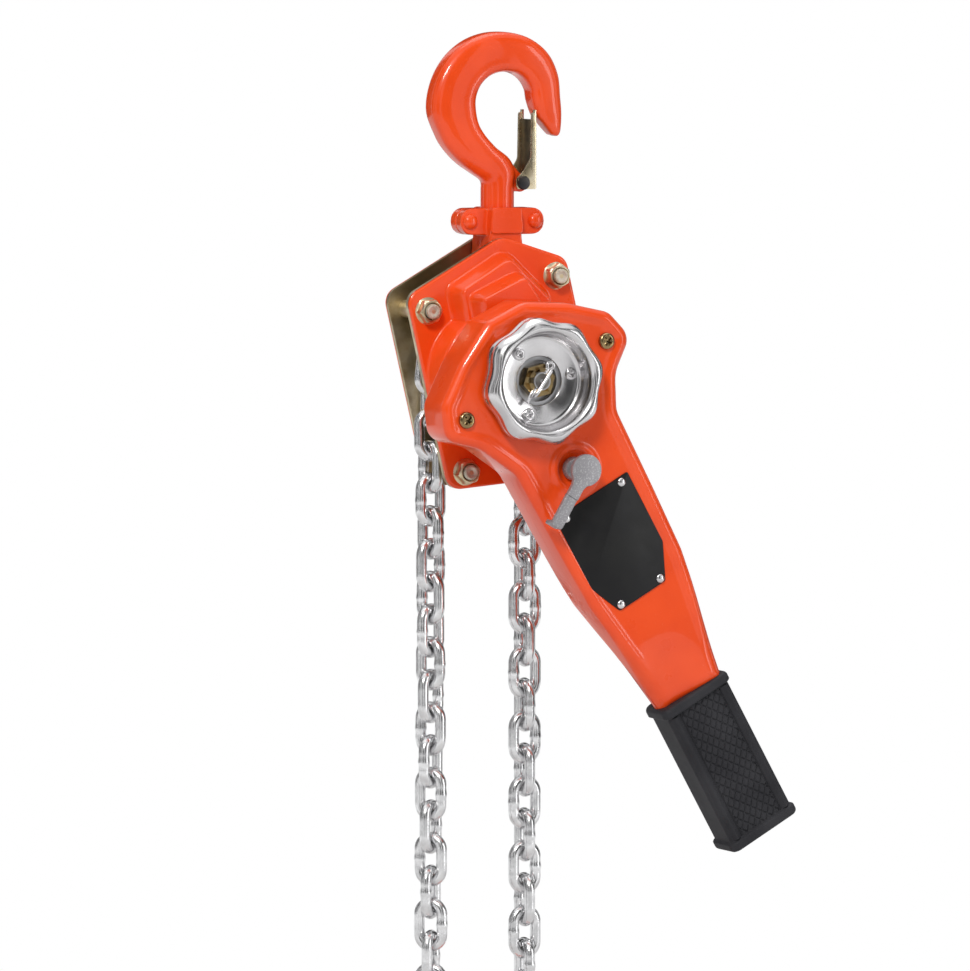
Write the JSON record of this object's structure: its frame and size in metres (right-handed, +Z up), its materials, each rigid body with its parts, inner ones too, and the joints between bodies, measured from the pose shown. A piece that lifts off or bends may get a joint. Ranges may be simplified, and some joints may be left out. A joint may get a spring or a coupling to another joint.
{
  "type": "lever chain hoist",
  "caption": "Lever-operated chain hoist with a top hook, a ratchet lever with rubber grip, a handwheel and a load chain that ends in a swivelling bottom hook.",
  "frame": {"origin": "centre of the top hook's bowl, on the axis that the hook swivels about", "axes": "+Z up along the hung hoist; the lever and handwheel face -Y; +X to the right seen from the lever side"},
  "size_m": [0.2196, 0.1419, 0.6708],
  "materials": {
    "forged_orange": "gloss paint over forged steel",
    "sheet_orange": "gloss paint over pressed steel",
    "yellow_zinc": "yellow zinc plating",
    "black_steel": "blackened steel",
    "chain_zinc": "bright zinc plating",
    "bright_chrome": "bright chrome plating",
    "bronze": "sintered bronze",
    "friction_lining": "matte friction lining",
    "grip_rubber": "matte moulded rubber",
    "label_black": "bare black plate, satin",
    "grey_casting": "grey zinc plated casting",
    "plain_steel": "machined steel"
  },
  "bodies": {
    "hook_top": {"top_hook": "forged_orange", "top_latch_pin": "black_steel", "top_latch_spring": "plain_steel"},
    "latch_top": {"top_latch": "yellow_zinc"},
    "yoke_top": {"top_yoke_front": "forged_orange", "top_yoke_rear": "forged_orange", "top_yoke_rivets": "forged_orange"},
    "frame": {"yoke_pin": "plain_steel", "front_plate": "yellow_zinc", "rear_plate": "yellow_zinc", "stay_bolts": "yellow_zinc", "front_nuts": "yellow_zinc", "rear_nuts": "yellow_zinc", "chain_stripper": "plain_steel", "brake_cover": "sheet_orange", "gear_cover": "sheet_orange", "sheave_bearings": "plain_steel", "gear_bushes": "bronze", "pawl_pins": "plain_steel", "upper_pawl_spring": "plain_steel", "lower_pawl_spring": "plain_steel", "chain_on_sheave": "chain_zinc"},
    "sheave": {"load_sheave": "plain_steel", "load_gear": "plain_steel", "gear_snap_ring": "plain_steel"},
    "gear_upper": {"upper_disc_gear": "plain_steel"},
    "gear_lower": {"lower_disc_gear": "plain_steel"},
    "shaft": {"drive_shaft": "plain_steel", "friction_hub": "plain_steel", "castle_nut": "yellow_zinc", "split_pin": "bright_chrome"},
    "ratchet": {"ratchet_disc": "plain_steel", "friction_plates": "friction_lining"},
    "pawl_upper": {"upper_pawl": "plain_steel"},
    "pawl_lower": {"lower_pawl": "plain_steel"},
    "wheel": {"drive_member": "plain_steel", "handwheel": "bright_chrome", "handwheel_screws": "bright_chrome"},
    "lever": {"lever_front_shell": "sheet_orange", "lever_rear_shell": "sheet_orange", "lever_screws": "yellow_zinc", "lever_bush": "bronze", "grip": "grip_rubber", "label_plate": "label_black", "label_rivets": "bright_chrome", "detent_plunger": "plain_steel", "detent_spring": "plain_steel"},
    "selector": {"selector_knob": "grey_casting", "change_pawl": "plain_steel"},
    "load_strand": {"load_chain": "chain_zinc"},
    "free_strand": {"free_chain": "chain_zinc"},
    "end_ring": {"chain_end_ring": "chain_zinc"},
    "yoke_bottom": {"bottom_yoke_front": "forged_orange", "bottom_yoke_rear": "forged_orange", "bottom_yoke_pins": "yellow_zinc"},
    "hook_bottom": {"bottom_hook": "forged_orange", "bottom_latch_pin": "black_steel", "bottom_latch_spring": "plain_steel"},
    "latch_bottom": {"bottom_latch": "yellow_zinc"}
  },
  "joints": [
    {"name": "hook_swivel", "type": "hinge", "parent": "hook_top", "child": "yoke_top", "pos_m": [0, 0, -0.065], "axis": [0, 0, 1], "continuous": true},
    {"name": "top_latch_open", "type": "hinge", "parent": "hook_top", "child": "latch_top", "pos_m": [0.0118, 0, -0.044], "axis": [0, -1, 0], "range_deg": [0, 26], "stiffness_Nm_per_rad": 0.02, "springref_deg": -20.05, "deforming": ["top_latch_spring"]},
    {"name": "body_swing", "type": "hinge", "parent": "yoke_top", "child": "frame", "pos_m": [0, 0, -0.0875], "axis": [0, -1, 0], "range_deg": [-20, 20]},
    {"name": "sheave_spin", "type": "hinge", "parent": "frame", "child": "sheave", "pos_m": [-0.01138, 0, -0.14979], "axis": [0, -1, 0], "continuous": true, "deforming": ["chain_on_sheave"]},
    {"name": "upper_gear_spin", "type": "hinge", "parent": "frame", "child": "gear_upper", "pos_m": [-0.0175, 0, -0.1239], "axis": [0, -1, 0], "continuous": true},
    {"name": "lower_gear_spin", "type": "hinge", "parent": "frame", "child": "gear_lower", "pos_m": [-0.00526, 0, -0.17567], "axis": [0, -1, 0], "continuous": true},
    {"name": "shaft_spin", "type": "hinge", "parent": "frame", "child": "shaft", "pos_m": [-0.01138, 0, -0.14979], "axis": [0, -1, 0], "continuous": true},
    {"name": "ratchet_click", "type": "hinge", "parent": "frame", "child": "ratchet", "pos_m": [-0.01138, 0, -0.14979], "axis": [0, -1, 0], "range_deg": [0, 16]},
    {"name": "upper_pawl_lift", "type": "hinge", "parent": "frame", "child": "pawl_upper", "pos_m": [-0.00321, 0, -0.10655], "axis": [0, -1, 0], "range_deg": [-8, 0], "deforming": ["upper_pawl_spring"]},
    {"name": "lower_pawl_lift", "type": "hinge", "parent": "frame", "child": "pawl_lower", "pos_m": [0.0188, 0, -0.18181], "axis": [0, -1, 0], "range_deg": [-8, 0], "deforming": ["lower_pawl_spring"]},
    {"name": "brake_release", "type": "hinge", "parent": "shaft", "child": "wheel", "pos_m": [-0.01138, 0, -0.14979], "axis": [0, -1, 0], "range_deg": [0, 30]},
    {"name": "lever_swing", "type": "hinge", "parent": "frame", "child": "lever", "pos_m": [-0.01138, 0, -0.14979], "axis": [0, -1, 0], "continuous": true},
    {"name": "selector_turn", "type": "hinge", "parent": "lever", "child": "selector", "pos_m": [0.01243, 0, -0.19881], "axis": [0, -1, 0], "range_deg": [-25, 25]},
    {"name": "load_strand_swing", "type": "hinge", "parent": "frame", "child": "load_strand", "pos_m": [0.01696, 0, -0.19567], "axis": [1, 0, 0], "range_deg": [-10, 10]},
    {"name": "free_strand_swing", "type": "hinge", "parent": "frame", "child": "free_strand", "pos_m": [-0.04089, 0, -0.19471], "axis": [1, 0, 0], "range_deg": [-10, 10]},
    {"name": "bottom_yoke_swing", "type": "hinge", "parent": "load_strand", "child": "yoke_bottom", "pos_m": [0.01696, 0, -0.50467], "axis": [0, -1, 0], "range_deg": [-30, 30]},
    {"name": "bottom_hook_swivel", "type": "hinge", "parent": "yoke_bottom", "child": "hook_bottom", "pos_m": [0.01696, 0, -0.52717], "axis": [0, 0, 1], "continuous": true},
    {"name": "bottom_latch_open", "type": "hinge", "parent": "hook_bottom", "child": "latch_bottom", "pos_m": [0.02876, 0, -0.54817], "axis": [0, 1, 0], "range_deg": [0, 26], "stiffness_Nm_per_rad": 0.02, "springref_deg": -20.05, "deforming": ["bottom_latch_spring"]},
    {"name": "end_ring_swing", "type": "hinge", "parent": "free_strand", "child": "end_ring", "pos_m": [-0.04089, 0, -0.50101], "axis": [-0.7478, 0.6639, 0], "range_deg": [-15, 15]}
  ],
  "couplings": [
    {"joint": "upper_gear_spin", "follows": "sheave_spin", "ratio": -2.4545},
    {"joint": "lower_gear_spin", "follows": "sheave_spin", "ratio": -2.4545},
    {"joint": "shaft_spin", "follows": "sheave_spin", "ratio": 6.0248},
    {"joint": "upper_pawl_lift", "follows": "ratchet_click", "ratio": -0.5},
    {"joint": "lower_pawl_lift", "follows": "ratchet_click", "ratio": -0.5}
  ]
}
